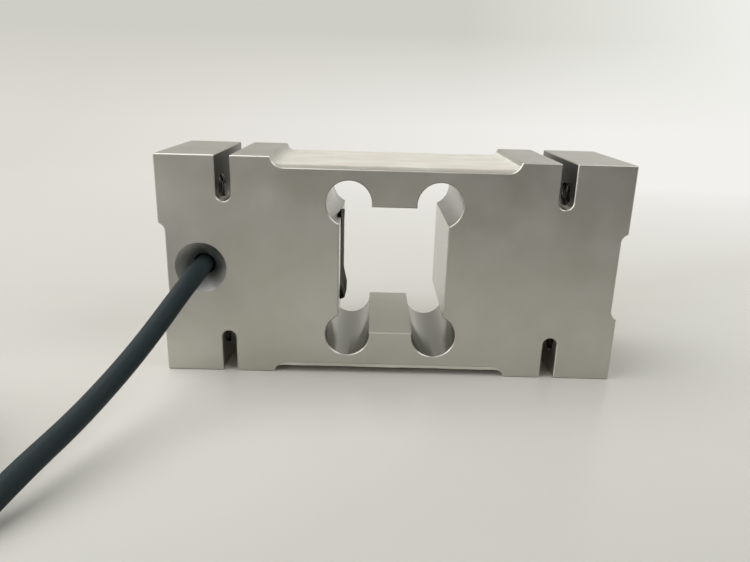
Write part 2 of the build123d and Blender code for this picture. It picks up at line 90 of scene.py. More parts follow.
# Tapped bolt holes, M10 x 1.5
BOLT_Y = 12.5
BOLT_RISE = 25.0
BOLT_RADIUS = 4.25
THREAD_PITCH = 1.5
THREAD_DEPTH = 0.34
THREAD_SECTION = [(-0.62, 0.04), (-0.14, -1.0), (0.14, -1.0), (0.62, 0.04)]
THREAD_STEPS_A_TURN = 44
HOLE_START = 74.4
HOLE_END = 56.0

# Countersunk cable entry
ENTRY_X = -62.1
ENTRY_MOUTH_RADIUS = 8.35

# Cable and its route, as in the part's source but for small shifts that follow the photograph
CABLE_RADIUS = 3.0
CABLE_ROUTE = [
    (ENTRY_X, -11.5, MID),
    (ENTRY_X, -19.5, MID),
    (-63.1, -27.6, 34.6),
    (-65.3, -36.0, 31.3),
    (-70.5, -50.0, 23.2),
    (-75.3, -62.5, 17.0),
    (-80.9, -77.0, 11.2),
    (-86.4, -92.5, 7.5),
    (-91.3, -107.0, CABLE_RADIUS),
    (-99.0, -117.4, CABLE_RADIUS),
    (-110.4, -124.8, CABLE_RADIUS),
    (-122.9, -129.6, CABLE_RADIUS),
    (-135.8, -133.4, CABLE_RADIUS),
]
COIL_OUTER = 43.3
COIL_PITCH = 6.1
COIL_LAYER_TURNS = 2.6478
COIL_POINTS_A_TURN = 16
CLIMB_TURN = radians(100)
LAYER_LIFT = 2 * CABLE_RADIUS

# Nylon tie round the coil
TIE_ANGLE = radians(-108.0)
TIE_INNER = 26.6
TIE_OUTER = 45.9
TIE_CORNER = 3.0
TIE_WIDTH = 4.6
TIE_THICKNESS = 0.9
TIE_TOOTH_PITCH = 1.0
TIE_TOOTH_DEPTH = 0.22
TIE_HEAD_REACH = 30.5


def heading(start, end):
    """Unit direction in plan from one point to another."""
    dx, dy = end[0] - start[0], end[1] - start[1]
    return dx / hypot(dx, dy), dy / hypot(dx, dy)


ENTRY_HEADING = heading(CABLE_ROUTE[-2], CABLE_ROUTE[-1])
COIL_X = CABLE_ROUTE[-1][0] + COIL_OUTER * ENTRY_HEADING[1]
COIL_Y = CABLE_ROUTE[-1][1] - COIL_OUTER * ENTRY_HEADING[0]
COIL_TOP = CABLE_RADIUS + LAYER_LIFT
TAIL_X = COIL_X - COIL_OUTER
SLEEVE_RADIUS = CABLE_RADIUS + 0.45
TAIL_ROUTE = [
    (TAIL_X, COIL_Y + 12.0, COIL_TOP),
    (TAIL_X + 0.9, COIL_Y + 24.5, 5.9),
    (TAIL_X + 2.8, COIL_Y + 37.5, SLEEVE_RADIUS),
    (TAIL_X + 6.4, COIL_Y + 50.0, SLEEVE_RADIUS),
    (TAIL_X + 11.6, COIL_Y + 61.5, SLEEVE_RADIUS),
]


def linear(code):
    """An sRGB hex colour as the linear RGBA that a shader takes."""
    parts = [int(code[i:i + 2], 16) / 255 for i in (1, 3, 5)]
    return (*[c / 12.92 if c <= 0.04045 else ((c + 0.055) / 1.055) ** 2.4 for c in parts], 1.0)


def add(tree, kind, inputs=(), **settings):
    """Add a node with its settings and links.

    Inputs come as a dict by socket, or as a list in the sockets' order. Each one is a value, a link,
    or a node that stands for its first output.
    """
    node = tree.nodes.new("ShaderNode" + kind)
    for name, value in settings.items():
        setattr(node, name, value)
    for name, value in inputs.items() if isinstance(inputs, dict) else enumerate(inputs):
        if isinstance(value, bpy.types.Node):
            value = value.outputs[0]
        if isinstance(value, bpy.types.NodeSocket):
            tree.links.new(value, node.inputs[name])
        else:
            node.inputs[name].default_value = value
    return node


def new_material(name):
    """New material with an empty tree."""
    material = bpy.data.materials.new(name)
    material.use_nodes = True
    material.node_tree.nodes.clear()
    return material, material.node_tree


def places(tree, size_mm, stretch=(1.0, 1.0, 1.0)):
    """Object coordinates in units of a real size; stretch lengthens the pattern along X, Y and Z."""
    coordinates = add(tree, "TexCoord").outputs["Object"]
    scale = tuple(1 / (size_mm * MM * s) for s in stretch)
    return add(tree, "Mapping", {"Vector": coordinates, "Scale": scale})


def satin_milled_aluminium():
    """Aluminium, milled and then tumbled: a warm grey satin with soft reflections.

    A fine even grain scatters them, and handling leaves slightly duller clouds. The window and its
    flexure bores are as milled, so they are glossier and show the cutter's rings; the bores' colour is
    darkened as painted shade. The cable entry is freshly cut and glossier, and its colour is brightened,
    partly because it is freshly cut and partly as painted light. The upper slots are cut by a saw, and
    their colour is darkened as painted shade. The grain is drawn at 0.35 mm and the rings 0.45 mm apart,
    coarser than the real ones, so that they show.
    """
    material, tree = new_material("satin_milled_aluminium")
    x, y, z = add(tree, "SeparateXYZ", [places(tree, 1.0)]).outputs

    # 1 in the cable entry: within its mouth's radius of the axis, and in the front half of the beam
    profile = add(tree, "CombineXYZ", {"X": x, "Z": z})
    to_axis = add(tree, "VectorMath", [profile, (ENTRY_X, 0.0, MID)], operation="DISTANCE").outputs["Value"]
    near_axis = add(tree, "MapRange", [to_axis, ENTRY_MOUTH_RADIUS - 0.06, ENTRY_MOUTH_RADIUS, 1.0, 0.0])
    in_front = add(tree, "MapRange", [y, -10.0, -5.0, 1.0, 0.0])
    in_entry = add(tree, "Math", [near_axis, in_front], operation="MULTIPLY")

    # 1 in the flexure bores and on the window's walls, worked out for one quarter of the profile
    away_x = add(tree, "Math", [x], operation="ABSOLUTE")
    over_mid = add(tree, "Math", [z, MID], operation="SUBTRACT")
    away_z = add(tree, "Math", [over_mid], operation="ABSOLUTE")
    quarter = add(tree, "CombineXYZ", {"X": away_x, "Z": away_z})
    bore_axis = (GAUGE_X, 0.0, FLEXURE_RISE)
    to_bore = add(tree, "VectorMath", [quarter, bore_axis], operation="DISTANCE").outputs["Value"]
    in_bore = add(tree, "MapRange", [to_bore, FLEXURE_RADIUS + 0.04, FLEXURE_RADIUS + 0.136, 1.0, 0.0])
    within_x = add(tree, "MapRange", [away_x, WINDOW_HALF, WINDOW_HALF + 0.1, 1.0, 0.0])
    within_z = add(tree, "MapRange", [away_z, WALL_RISE + 2.0, WALL_RISE + 3.0, 1.0, 0.0])
    in_window = add(tree, "Math", [within_x, within_z], operation="MULTIPLY")
    opening = add(tree, "Math", [in_bore, in_window], operation="MAXIMUM")
    entry_gloss = add(tree, "Math", [in_entry, 0.3], operation="MULTIPLY")
    milled = add(tree, "Math", [opening, entry_gloss], operation="MAXIMUM")

    # 1 in the upper slots, whose colour is darkened below as painted shade
    to_slot = add(tree, "Math", [away_x, SLOT_X], operation="SUBTRACT")
    beside_slot = add(tree, "Math", [to_slot], operation="ABSOLUTE")
    within_slot = add(tree, "MapRange", [beside_slot, SLOT_WIDTH / 2 + 0.02, SLOT_WIDTH / 2 + 0.1, 1.0, 0.0])
    upper = add(tree, "MapRange", [z, HEIGHT - SLOT_DEPTH + 1.0, HEIGHT - SLOT_DEPTH + 4.0])
    painted_slot_shade = add(tree, "Math", [within_slot, upper], operation="MULTIPLY")

    handled = add(tree, "TexNoise", {"Vector": places(tree, 14.0), "Scale": 1.0, "Detail": 3.0})
    grain = add(tree, "TexNoise", {"Vector": places(tree, 0.35), "Scale": 1.0, "Detail": 1.0})
    duller = add(tree, "MapRange", [handled, 0.3, 0.7, 0.38, 0.46])
    speckle = add(tree, "MapRange", [grain, 0.3, 0.7, -0.02, 0.02])
    tumbled = add(tree, "Math", [duller, speckle], operation="ADD")
    gloss = add(tree, "Math", [milled, 0.2], operation="MULTIPLY")
    roughness = add(tree, "Math", [tumbled, gloss], operation="SUBTRACT")

    paler = add(tree, "MapRange", [handled, 0.3, 0.7])
    satin = {0: paler, 6: linear("#C3C0B7"), 7: linear("#CCCAC3")}
    satin = add(tree, "Mix", satin, data_type="RGBA").outputs[2]
    # the cable entry's colour is brightened to #EEEDEA, partly because it is freshly cut and partly as
    # painted light
    fresh_cut_and_painted_light = add(tree, "Mix", {0: in_entry, 6: satin, 7: linear("#EEEDEA")}, data_type="RGBA").outputs[2]
    # painted shade: the bores and the upper slots take the darker #7C7C77
    painted_bore_shade = add(tree, "Math", [in_bore, 0.8], operation="MULTIPLY")
    shade = add(tree, "Math", [painted_slot_shade, painted_bore_shade], operation="MAXIMUM")
    colour = add(tree, "Mix", {0: shade, 6: fresh_cut_and_painted_light, 7: linear("#7C7C77")}, data_type="RGBA").outputs[2]

    bands = {"Vector": places(tree, 0.45), "Scale": BAND_SCALE, "Distortion": 0.4, "Detail": 1.0}
    rings = add(tree, "TexWave", bands, wave_type="BANDS", bands_direction="Y").outputs["Fac"]
    ring_share = add(tree, "MapRange", [milled, 0.0, 1.0, 0.25, 0.9])
    grain_share = add(tree, "MapRange", [milled, 0.0, 1.0, 0.8, 0.3])
    ringed = add(tree, "Math", [rings, ring_share], operation="MULTIPLY")
    grained = add(tree, "Math", [grain, grain_share], operation="MULTIPLY")
    height = add(tree, "Math", [grained, ringed], operation="ADD")
    bump = add(tree, "Bump", {"Height": height, "Distance": 0.006 * MM})
    sockets = {"Base Color": colour, "Metallic": 1.0, "Roughness": roughness, "Normal": bump}
    add(tree, "OutputMaterial", [add(tree, "BsdfPrincipled", sockets)])
    return material


def tapped_aluminium():
    """Thread cut by a tap, with a film of oil: bare aluminium with narrow, sharp reflections, its colour
    darkened as painted shade in the holes.
    """
    material, tree = new_material("tapped_bright_aluminium")
    film = add(tree, "TexNoise", {"Vector": places(tree, 1.5), "Scale": 1.0, "Detail": 2.0})
    roughness = add(tree, "MapRange", [film, 0.3, 0.7, 0.12, 0.24])
    marks = add(tree, "TexNoise", {"Vector": places(tree, 0.3), "Scale": 1.0, "Detail": 1.0})
    bump = add(tree, "Bump", {"Height": marks, "Distance": 0.004 * MM})
    # the colour #A5A5A2 is darker than the body's as painted shade in the holes
    sockets = {"Base Color": linear("#A5A5A2"), "Metallic": 1.0, "Roughness": roughness, "Normal": bump}
    add(tree, "OutputMaterial", [add(tree, "BsdfPrincipled", sockets)])
    return material


def brushed_silicone():
    """Room-curing silicone laid on with a brush: soft cream with paler blotches and a low gloss."""
    material, tree = new_material("brushed_cream_silicone")
    strokes = (2.0, 1.0, 1.0)
    patches = add(tree, "TexNoise", {"Vector": places(tree, 7.0, strokes), "Scale": 1.0, "Detail": 3.0})
    paler = add(tree, "MapRange", [patches, 0.42, 0.66])
    tones = {0: paler, 6: linear("#D0CBC0"), 7: linear("#DAD7CE")}
    colour = add(tree, "Mix", tones, data_type="RGBA").outputs[2]
    skin = add(tree, "TexNoise", {"Vector": places(tree, 2.2, strokes), "Scale": 1.0, "Detail": 2.0})
    bump = add(tree, "Bump", {"Height": skin, "Distance": 0.02 * MM})
    sockets = {"Base Color": colour, "Roughness": 0.5, "Subsurface Weight": 0.08,
               "Subsurface Scale": 0.002, "Normal": bump}
    add(tree, "OutputMaterial", [add(tree, "BsdfPrincipled", sockets)])
    return material


def poured_compound():
    """Black two-part sealing compound: deep black with a dull skin, a little glossier where it flowed."""
    material, tree = new_material("black_sealing_compound")
    flow = add(tree, "TexNoise", {"Vector": places(tree, 5.0), "Scale": 1.0, "Detail": 2.0})
    roughness = add(tree, "MapRange", [flow, 0.3, 0.7, 0.5, 0.7])
    lumps = add(tree, "TexNoise", {"Vector": places(tree, 2.5), "Scale": 1.0, "Detail": 2.0})
    bump = add(tree, "Bump", {"Height": lumps, "Distance": 0.08 * MM})
    sockets = {"Base Color": linear("#0A0B0D"), "Roughness": roughness, "Specular IOR Level": 0.08,
               "Normal": bump}
    add(tree, "OutputMaterial", [add(tree, "BsdfPrincipled", sockets)])
    return material


def extruded_jacket():
    """Soft PVC jacket, extruded matt: blue-black, with a fine grain and duller handled patches."""
    material, tree = new_material("extruded_matt_pvc_jacket")
    patches = add(tree, "TexNoise", {"Vector": places(tree, 18.0), "Scale": 1.0, "Detail": 2.0})
    paler = add(tree, "MapRange", [patches, 0.35, 0.65])
    tones = {0: paler, 6: linear("#172427"), 7: linear("#1D2A2D")}
    colour = add(tree, "Mix", tones, data_type="RGBA").outputs[2]
    roughness = add(tree, "MapRange", [patches, 0.3, 0.7, 0.56, 0.68])
    grain = add(tree, "TexNoise", {"Vector": places(tree, 0.5), "Scale": 1.0, "Detail": 2.0})
    bump = add(tree, "Bump", {"Height": grain, "Distance": 0.02 * MM})
    sockets = {"Base Color": colour, "Roughness": roughness, "Specular IOR Level": 0.3, "Normal": bump}
    add(tree, "OutputMaterial", [add(tree, "BsdfPrincipled", sockets)])
    return material


def extruded_core(name, colour):
    """Thin PVC insulation of a core: even colour and a soft gloss, with faint draw marks."""
    material, tree = new_material(name)
    patches = add(tree, "TexNoise", {"Vector": places(tree, 2.0), "Scale": 1.0, "Detail": 2.0})
    roughness = add(tree, "MapRange", [patches, 0.3, 0.7, 0.28, 0.42])
    marks = add(tree, "TexNoise", {"Vector": places(tree, 0.4), "Scale": 1.0, "Detail": 1.0})
    bump = add(tree, "Bump", {"Height": marks, "Distance": 0.006 * MM})
    sockets = {"Base Color": linear(colour), "Roughness": roughness, "Normal": bump}
    add(tree, "OutputMaterial", [add(tree, "BsdfPrincipled", sockets)])
    return material


def drawn_metal(name, dark, bright, roughness):
    """Drawn and tinned or enamelled wire: bright, with slightly uneven gloss along it."""
    material, tree = new_material(name)
    patches = add(tree, "TexNoise", {"Vector": places(tree, 1.2), "Scale": 1.0, "Detail": 2.0})
    brighter = add(tree, "MapRange", [patches, 0.3, 0.7])
    colour = add(tree, "Mix", {0: brighter, 6: linear(dark), 7: linear(bright)}, data_type="RGBA").outputs[2]
    uneven = add(tree, "MapRange", [patches, 0.3, 0.7, roughness - 0.06, roughness + 0.08])
    sockets = {"Base Color": colour, "Metallic": 1.0, "Roughness": uneven}
    add(tree, "OutputMaterial", [add(tree, "BsdfPrincipled", sockets)])
    return material


def moulded_nylon():
    """Natural nylon, moulded: milky and slightly translucent, with a soft gloss."""
    material, tree = new_material("moulded_natural_nylon")
    patches = add(tree, "TexNoise", {"Vector": places(tree, 3.0), "Scale": 1.0, "Detail": 2.0})
    roughness = add(tree, "MapRange", [patches, 0.3, 0.7, 0.3, 0.44])
    skin = add(tree, "TexNoise", {"Vector": places(tree, 1.0), "Scale": 1.0, "Detail": 1.0})
    bump = add(tree, "Bump", {"Height": skin, "Distance": 0.01 * MM})
    sockets = {"Base Color": linear("#DEDCD2"), "Roughness": roughness, "Subsurface Weight": 0.2,
               "Subsurface Scale": 0.003, "Normal": bump}
    add(tree, "OutputMaterial", [add(tree, "BsdfPrincipled", sockets)])
    return material


def shrunk_sleeve():
    """Heat-shrink polyolefin: black, satin, with the ribs of what lies under it just showing."""
    material, tree = new_material("heat_shrink_polyolefin")
    patches = add(tree, "TexNoise", {"Vector": places(tree, 3.0), "Scale": 1.0, "Detail": 2.0})
    roughness = add(tree, "MapRange", [patches, 0.3, 0.7, 0.34, 0.48])
    along = (1.0, 3.0, 1.0)
    ribs = add(tree, "TexNoise", {"Vector": places(tree, 1.8, along), "Scale": 1.0, "Detail": 1.0})
    bump = add(tree, "Bump", {"Height": ribs, "Distance": 0.05 * MM})
    sockets = {"Base Color": linear("#17181A"), "Roughness": roughness, "Normal": bump}
    add(tree, "OutputMaterial", [add(tree, "BsdfPrincipled", sockets)])
    return material


def etched_gauge_film():
    """Polyimide film with etched constantan foil: clear amber below, dull silver-brown foil on top.

    The foil is the layer that lies highest over the film, so the height from the beam's middle tells
    them apart.
    """
    material, tree = new_material("etched_gauge_film")
    height = add(tree, "SeparateXYZ", [places(tree, 1.0)]).outputs["Z"]
    over_mid = add(tree, "Math", [height, MID], operation="SUBTRACT")
    away = add(tree, "Math", [over_mid], operation="ABSOLUTE")
    foil_level = MID - RECESS_DEPTH + 0.13
    foil = add(tree, "MapRange", [away, foil_level, foil_level + 0.01])
    tones = {0: foil, 6: linear("#B87B2B"), 7: linear("#A89880")}
    colour = add(tree, "Mix", tones, data_type="RGBA").outputs[2]
    weave = add(tree, "TexNoise", {"Vector": places(tree, 0.5), "Scale": 1.0, "Detail": 1.0})
    bump = add(tree, "Bump", {"Height": weave, "Distance": 0.004 * MM})
    sockets = {"Base Color": colour, "Metallic": foil, "Roughness": 0.3, "Normal": bump}
    add(tree, "OutputMaterial", [add(tree, "BsdfPrincipled", sockets)])
    return material


def soldered_board():
    """Glass-epoxy board under green solder mask: dark green, glossy, with a faint weave."""
    material, tree = new_material("masked_glass_epoxy")
    bands = {"Vector": places(tree, 0.8), "Scale": 1.0, "Distortion": 0.5}
    weave = add(tree, "TexWave", bands, bands_direction="DIAGONAL").outputs["Fac"]
    tones = {0: weave, 6: linear("#1B5236"), 7: linear("#246346")}
    colour = add(tree, "Mix", tones, data_type="RGBA").outputs[2]
    bump = add(tree, "Bump", {"Height": weave, "Distance": 0.01 * MM})
    sockets = {"Base Color": colour, "Roughness": 0.3, "Normal": bump}
    add(tree, "OutputMaterial", [add(tree, "BsdfPrincipled", sockets)])
    return material


def chip_ceramic():
    """Thick-film chip resistor: matt black glaze on alumina, with paler specks."""
    material, tree = new_material("glazed_chip_ceramic")
    grain = add(tree, "TexNoise", {"Vector": places(tree, 0.6), "Scale": 1.0, "Detail": 2.0})
    paler = add(tree, "MapRange", [grain, 0.35, 0.65])
    tones = {0: paler, 6: linear("#18181B"), 7: linear("#2A2A2E")}
    colour = add(tree, "Mix", tones, data_type="RGBA").outputs[2]
    bump = add(tree, "Bump", {"Height": grain, "Distance": 0.01 * MM})
    sockets = {"Base Color": colour, "Roughness": 0.45, "Normal": bump}
    add(tree, "OutputMaterial", [add(tree, "BsdfPrincipled", sockets)])
    return material


def quads(rows, columns, start=0, around=False, ring=False):
    """Faces of a grid of points; around joins the last column to the first, and ring the last row."""
    index = start + np.arange(rows * columns).reshape(rows, columns)
    if ring:
        index = np.vstack([index, index[:1]])
    if around:
        index = np.hstack([index, index[:, :1]])
    corners = [index[:-1, :-1], index[1:, :-1], index[1:, 1:], index[:-1, 1:]]
    return np.stack(corners, axis=-1).reshape(-1, 4).tolist()


def piece(name, points, faces, material, replaces=(), crease=40):
    """New closed piece from points in millimetres, turned outwards and shaded smooth below a crease."""
    data = bpy.data.meshes.new(name)
    data.from_pydata((np.asarray(points) * MM).tolist(), [], faces)
    shell = bmesh.new()
    shell.from_mesh(data)
    bmesh.ops.recalc_face_normals(shell, faces=shell.faces)
    shell.to_mesh(data)
    shell.free()
    data.shade_smooth()
    data.set_sharp_from_angle(angle=radians(crease))
    data.materials.append(material)
    made = bpy.data.objects.new(name, data)
    bpy.context.scene.collection.objects.link(made)
    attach(made, "root")
    if replaces:
        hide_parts(*replaces)
    return made


def tube_faces(rings, around, start=0):
    """Faces of a closed tube of rings, with a flat cap at each end."""
    faces = quads(rings, around, start, around=True)
    last = start + (rings - 1) * around
    return faces + [list(range(start, start + around)), list(range(last, last + around))]


def ease(value):
    """Smooth step from 0 to 1."""
    value = np.clip(value, 0, 1)
    return value * value * (3 - 2 * value)


def bolt_threads(material):
    """Thread ridges in the eight bolt holes.

    Each ridge is a trapezoid carried along the helix x = start - pitch t, with its crest at the bore's
    radius less the thread's depth, and it runs out to nothing over half a turn at both ends. The
    section's depths under zero are parts of the thread's depth, and its feet stand a little in the metal.
    """
    section = np.array(THREAD_SECTION)
    turns = (HOLE_START - HOLE_END) / THREAD_PITCH
    t = np.linspace(0, turns, int(turns * THREAD_STEPS_A_TURN))
    fade = ease(2 * t) * ease(2 * (turns - t))
    radial = np.where(section[:, 1] < 0, section[:, 1] * THREAD_DEPTH, section[:, 1])
    radius = BOLT_RADIUS + radial[None, :] * np.where(section[:, 1] < 0, fade[:, None], 1.0)
    angle = 2 * pi * t[:, None] + 0 * radius
    points, faces = [], []
    for side in (-1, 1):
        for y in (-BOLT_Y, BOLT_Y):
            for level in (-BOLT_RISE, BOLT_RISE):
                x = side * (HOLE_START - THREAD_PITCH * t[:, None] + section[None, :, 0])
                ring = [x, y + radius * np.cos(angle), MID + level + side * radius * np.sin(angle)]
                faces += tube_faces(len(t), len(section), start=len(points) * radius.size)
                points.append(np.stack(ring, axis=-1).reshape(-1, 3))
    return piece("bolt_threads", np.vstack(points), faces, material, crease=25)


def end_rise(x):
    """Height of the recess's concave end over its floor."""
    along = np.clip(np.abs(x) - (RECESS_HALF - RECESS_RADIUS), 0, RECESS_RADIUS)
    return RECESS_RADIUS - np.sqrt(RECESS_RADIUS**2 - along**2)


def sealing_coat(name, side, material):
    """Sealing silicone brushed over a gauge recess.

    Its thickness is an even coat plus slow waves, low swells over the gauges and a film that climbs the
    concave ends, where a soft maximum joins them. It rounds off to nothing at the front and back edges.
    The underside follows the recess.
    """
    reach, film_end, edge = 38.55, 0.06, 0.3
    x = np.linspace(-reach, reach, 260)[:, None]
    half = np.linspace(-1, 1, 61)
    y = COAT_HALF_DEPTH * np.sin(half * pi / 2)[None, :]
    phase = 0.7 if side > 0 else 2.1
    waves = (0.07 * np.sin(0.21 * x + phase) * np.sin(0.33 * y + 1.1 * phase)
             + 0.035 * np.sin(0.62 * x - 0.27 * y + phase) + 0.02 * np.sin(1.1 * x + 0.9 * y))
    swell = 0.16 * sum(np.exp(-(((x - g) / 6.0) ** 4) - (y / 4.6) ** 4) for g in (-GAUGE_X, GAUGE_X))
    round_off = np.sqrt(1 - np.clip((np.abs(y) - (COAT_HALF_DEPTH - edge)) / edge, 0, 1) ** 2)
    rise = end_rise(x)
    film = film_end + 0.5 * ease((reach - np.abs(x)) / 2.6)
    thick, climb = (COAT + waves + swell), rise + film
    blend = 0.35
    top = blend * np.log(np.exp(thick / blend) + np.exp(climb / blend))
    top = rise + (np.maximum(top, rise + film_end) - rise) * round_off
    bottom = rise + 0 * y
    ring_y = np.concatenate([y + 0 * x, (y + 0 * x)[:, -2:0:-1]], axis=1)
    ring_z = np.concatenate([top, bottom[:, -2:0:-1]], axis=1)
    floor = HEIGHT - RECESS_DEPTH if side > 0 else RECESS_DEPTH
    points = np.stack([x + 0 * ring_y, ring_y, floor + side * ring_z], axis=-1)
    faces = tube_faces(*points.shape[:2])
    node = "sealing_coat_top" if side > 0 else "sealing_coat_bottom"
    return piece(name, points.reshape(-1, 3), faces, material, [node], crease=60)


def pocket_sealant(material):
    """Black compound over the wiring pocket, swollen near its lower and upper ends.

    A lens on the window's left wall: its outline is a superellipse in Y and Z with a slow wobble, and
    its height is a curve of Z that falls to nothing at the outline. Its top end narrows and is smeared
    over the edge of the bore.
    """
    rings, around = 34, 144
    out = np.linspace(0, 1, rings)[1:, None]
    turn = np.linspace(0, 2 * pi, around, endpoint=False)[None, :]
    power = 2 / 7
    across = np.sign(np.cos(turn)) * np.abs(np.cos(turn)) ** power
    upward = np.sign(np.sin(turn)) * np.abs(np.sin(turn)) ** power
    wobble = 1 + 0.016 * np.sin(3 * turn + 0.6) + 0.012 * np.sin(5 * turn + 2.0)
    mid_y, mid_z = (POCKET_FRONT + POCKET_BACK) / 2, (COMPOUND_LOW + COMPOUND_SMEAR) / 2
    half_y, half_z = (POCKET_BACK - POCKET_FRONT) / 2 + 1.1, (COMPOUND_SMEAR - COMPOUND_LOW) / 2 - 0.3
    z = mid_z + half_z * out * upward * wobble
    y = mid_y + half_y * out * across * wobble
    y = y - (y - POCKET_FRONT) * 0.75 * ease((z - COMPOUND_HIGH + 1.5) / 4.5)
    knots = [COMPOUND_LOW, COMPOUND_LOW + 0.8, COMPOUND_LOW + 3.4, COMPOUND_LOW + 6.5, mid_z + 5.0,
             COMPOUND_HIGH - 5.5, COMPOUND_HIGH - 2.6, COMPOUND_HIGH, COMPOUND_SMEAR]
    crown = np.interp(z, knots, [2.0, 2.4, 1.1, 0.14, 0.06, 0.08, 0.25, 0.3, 0.15])
    height = crown * np.sqrt(np.clip(1 - out**12, 0, 1)) * (1 + 0.06 * np.sin(0.5 * y + 0.4))
    wall = -WINDOW_HALF
    sunk = 0.02 + 0.5 * ease((z - MID - WALL_RISE) / 0.4)
    front = np.stack([wall + height, y, z], axis=-1).reshape(-1, 3)
    back = np.stack([wall - sunk, y, z], axis=-1)[-1]
    centre = [(wall + 0.1, mid_y, mid_z), (wall - 0.02, mid_y, mid_z)]
    points = np.vstack([front, back, centre])
    faces = quads(rings - 1, around, around=True)
    rim, base = (rings - 2) * around, (rings - 1) * around
    pole, foot = base + around, base + around + 1
    for i in range(around):
        j = (i + 1) % around
        faces += [[pole, i, j], [rim + i, base + i, base + j, rim + j], [foot, base + i, base + j]]
    return piece("pocket_sealant", points, faces, material, ["pocket_compound"], crease=70)


def rounded_path(wide, tall, corner, count):
    """Points and outward directions round a rounded rectangle about zero, at even steps of length."""
    straight_x, straight_z = wide - 2 * corner, tall - 2 * corner
    arc = pi * corner / 2
    total = 2 * (straight_x + straight_z) + 4 * arc
    s = np.linspace(0, total, count, endpoint=False)
    knots = np.cumsum([0, straight_x, arc, straight_z, arc, straight_x, arc, straight_z, arc])
    turned = np.interp(s, knots, [pi / 2, pi / 2, 0, 0, -pi / 2, -pi / 2, -pi, -pi, -3 * pi / 2])
    half_x, half_z = straight_x / 2, straight_z / 2
    core_x = np.interp(s, knots, half_x * np.array([-1, 1, 1, 1, 1, -1, -1, -1, -1]))
    core_z = np.interp(s, knots, half_z * np.array([1, 1, 1, -1, -1, -1, -1, 1, 1]))
    outward = np.stack([np.cos(turned), np.sin(turned)], axis=-1)
    return np.stack([core_x, core_z], axis=-1) + corner * outward, outward, s


def superbox(centre, half, power, rows=28, columns=48):
    """Rounded box: each direction cosine raised to a small power, on a grid of latitude and longitude."""
    up = np.linspace(-pi / 2, pi / 2, rows)[1:-1, None]
    turn = np.linspace(0, 2 * pi, columns, endpoint=False)[None, :]
    soft = [np.sign(c) * np.abs(c) ** power for c in (np.cos(up), np.sin(up), np.cos(turn), np.sin(turn))]
    sides = [half[0] * soft[0] * soft[2], half[1] * soft[0] * soft[3], half[2] * soft[1] + 0 * turn]
    grid = np.stack(sides, axis=-1)
    points = np.vstack([grid.reshape(-1, 3), [(0, 0, -half[2]), (0, 0, half[2])]]) + centre
    faces = quads(rows - 2, columns, around=True)
    low, high, last = len(points) - 2, len(points) - 1, (rows - 3) * columns
    for i in range(columns):
        j = (i + 1) % columns
        faces += [[low, j, i], [high, last + i, last + j]]
    return points, faces


def cable_tie(material):
    """Nylon tie round the turns: a toothed strap with a lock head on top and its cut tail.

    The strap is a flat section carried round a rounded rectangle, and its outer middle drops in a saw
    tooth along the path; head and tail are rounded boxes.
    """
    half, thick, shoulder = TIE_WIDTH / 2, TIE_THICKNESS, TIE_THICKNESS - 0.15
    section = np.array([(-half, 0.1), (-half + 0.1, 0), (half - 0.1, 0), (half, 0.1), (half, shoulder),
                        (half - 0.15, thick), (1.5, thick), (1.45, thick), (-1.45, thick), (-1.5, thick),
                        (-half + 0.15, thick), (-half, shoulder)])
    toothed = np.abs(section[:, 0]) == 1.45
    wide, tall = TIE_OUTER - TIE_INNER, 2 * LAYER_LIFT
    line, outward, s = rounded_path(wide, tall, TIE_CORNER, 640)
    tooth = TIE_TOOTH_DEPTH * (s / TIE_TOOTH_PITCH % 1.0)
    lift = section[None, :, 1] - toothed[None, :] * tooth[:, None]
    place = line[:, None, :] + lift[..., None] * outward[:, None, :]
    along = np.broadcast_to(section[None, :, 0], lift.shape)
    reach = (TIE_INNER + TIE_OUTER) / 2 + place[..., 0]
    level = TIE_THICKNESS + tall / 2 + place[..., 1]
    local = np.stack([reach, along, level], axis=-1).reshape(-1, 3)
    faces = quads(len(line), len(section), around=True, ring=True)
    head_level = tall + 2 * TIE_THICKNESS + 1.2
    head = ((TIE_HEAD_REACH, 0, head_level), (3.2, 3.0, 2.1), 0.22)
    tail = ((TIE_HEAD_REACH - 4.5, 0, head_level + 0.2), (3.0, 2.3, 0.45), 0.3)
    for centre, size, power in (head, tail):
        more, more_faces = superbox(centre, size, power)
        start = len(local)
        local = np.vstack([local, more])
        faces += [[start + i for i in face] for face in more_faces]
    turn = np.array([[cos(TIE_ANGLE), -sin(TIE_ANGLE), 0], [sin(TIE_ANGLE), cos(TIE_ANGLE), 0], [0, 0, 1]])
    points = local @ turn.T + (COIL_X, COIL_Y, 0)
    return piece("cable_tie", points, faces, material, ["coil_tie"], crease=30)


def coil_points():
    """Control points of the coil: a spiral in on the floor, a climb at the inside, a spiral out on top."""
    start = np.arctan2(CABLE_ROUTE[-1][1] - COIL_Y, CABLE_ROUTE[-1][0] - COIL_X)
    total = 2 * COIL_LAYER_TURNS
    steps = int(round(total * COIL_POINTS_A_TURN))
    # the outer turn leaves the floor's line of entry smoothly, so the first point is one step on
    turned = np.arange(1, steps) / steps * total * 2 * pi
    half = total * pi
    inwards = COIL_PITCH * COIL_LAYER_TURNS * (1 - np.abs(turned / half - 1))
    radius = COIL_OUTER - inwards
    climb = np.clip((turned - half + CLIMB_TURN / 2) / CLIMB_TURN, 0, 1)
    height = CABLE_RADIUS + LAYER_LIFT * climb * climb * (3 - 2 * climb)
    angle = start - turned
    return np.column_stack([COIL_X + radius * np.cos(angle), COIL_Y + radius * np.sin(angle), height])


